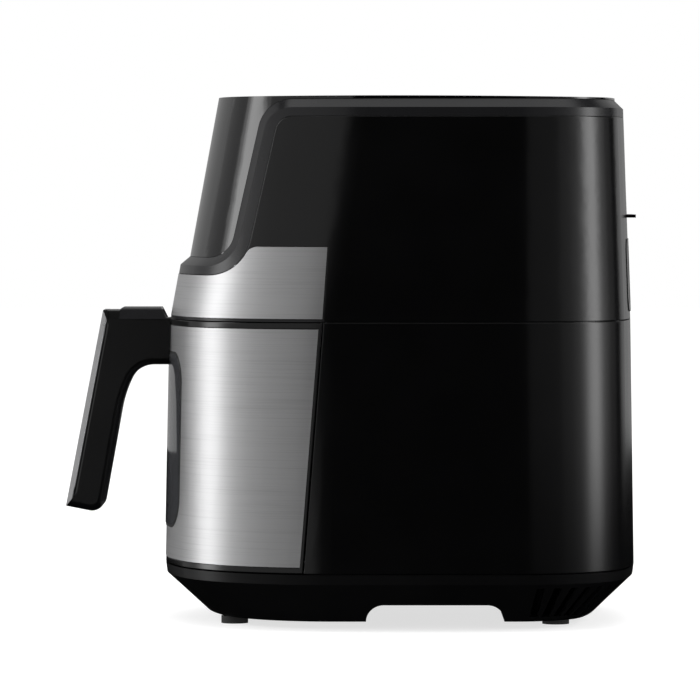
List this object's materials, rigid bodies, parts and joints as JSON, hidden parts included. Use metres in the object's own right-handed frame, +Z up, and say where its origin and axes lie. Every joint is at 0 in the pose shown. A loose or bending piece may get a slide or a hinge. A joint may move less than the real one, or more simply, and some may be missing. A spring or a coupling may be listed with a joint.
{
  "type": "drawer air fryer",
  "caption": "Drawer air fryer: round-cornered black housing, brushed steel front, pistol handle with release button, window, removable crisper plate and hot-air fan.",
  "frame": {"origin": "centre of the bounding box, on the surface the feet stand on", "axes": "+Z up, +Y from the handle to the rear, +X to the side"},
  "size_m": [0.27, 0.3639, 0.3336],
  "materials": {
    "black_gloss": "glossy black ABS",
    "black_satin": "satin dark grey plastic",
    "panel_gloss": "high-gloss black panel",
    "brushed": "horizontally brushed stainless steel",
    "window_tint": "smoked tempered glass",
    "clear_glass": "clear tempered glass",
    "soft_black": "black silicone rubber",
    "galvanised": "aluminised sheet steel",
    "nonstick": "speckled nonstick coating",
    "element_metal": "oxidised tube",
    "wire_steel": "plated wire",
    "fan_metal": "pressed aluminium",
    "shaft_steel": "ground steel",
    "motor_metal": "laminated stator, lacquered",
    "bronze": "sintered bronze",
    "board_green": "circuit board",
    "trim_silver": "metallic grey trim",
    "screw_zinc": "zinc plated",
    "spring_wire": "spring wire",
    "ceramic_white": "white housing"
  },
  "bodies": {
    "housing": {"base_tray": "black_gloss", "rubber_feet": "soft_black", "base_screws": "screw_zinc", "lower_shell": "black_gloss", "upper_shell": "black_gloss", "bezel_frame": "black_satin", "control_panel": "panel_gloss", "upper_steel_band": "brushed", "seam_trim": "black_satin", "rear_outlet": "black_gloss", "rear_spacer": "black_gloss", "cord_gland": "soft_black", "chamber_liner": "galvanised", "chamber_ceiling": "galvanised", "drawer_rails": "galvanised", "heating_element": "element_metal", "element_guard": "wire_steel", "fan_motor": "motor_metal", "lower_bearing": "bronze", "upper_bearing": "bronze", "heat_shield": "galvanised", "motor_bracket": "galvanised", "power_board": "board_green", "panel_board": "board_green", "thermal_cutout": "ceramic_white", "reed_switch": "ceramic_white"},
    "drawer": {"drawer_front": "black_gloss", "drawer_steel_panel": "brushed", "window_gasket": "soft_black", "window_glass": "window_tint", "inner_pane": "clear_glass", "drawer_pan": "nonstick", "window_frame": "black_satin", "pan_catch": "galvanised", "handle_body": "black_satin", "handle_trim": "trim_silver", "handle_screws": "screw_zinc", "latch_pin": "shaft_steel", "drawer_magnet": "motor_metal", "button_spring": "spring_wire"},
    "crisper": {"crisper_plate": "nonstick", "crisper_bumpers": "soft_black"},
    "guard": {"release_guard": "black_gloss"},
    "button": {"release_button": "black_satin"},
    "latch": {"release_latch": "black_satin"},
    "fan": {"motor_shaft": "shaft_steel", "motor_rotor": "motor_metal", "hot_air_fan": "fan_metal", "cooling_fan": "fan_metal"}
  },
  "joints": [
    {"name": "drawer_slide", "type": "slide", "parent": "housing", "child": "drawer", "axis": [0, -1, 0], "range_m": [0, 0.28]},
    {"name": "crisper_lift", "type": "slide", "parent": "drawer", "child": "crisper", "axis": [0, 0, 1], "range_m": [0, 0.128]},
    {"name": "release_guard_slide", "type": "slide", "parent": "drawer", "child": "guard", "axis": [0, -1, 0], "range_m": [0, 0.0068]},
    {"name": "release_button_press", "type": "slide", "parent": "drawer", "child": "button", "axis": [0, 0, -1], "range_m": [0, 0.003], "stiffness_N_per_m": 400, "springref_m": -0.002, "deforming": ["button_spring"]},
    {"name": "release_latch_swing", "type": "hinge", "parent": "drawer", "child": "latch", "pos_m": [0, -0.148, 0.1816], "axis": [-1, 0, 0], "range_deg": [0, 8]},
    {"name": "fan_spin", "type": "hinge", "parent": "housing", "child": "fan", "pos_m": [0, 0.027, 0.26], "axis": [0, 0, 1], "continuous": true}
  ],
  "couplings": [
    {"joint": "release_latch_swing", "follows": "release_button_press", "rad_per_m": 43.86}
  ]
}
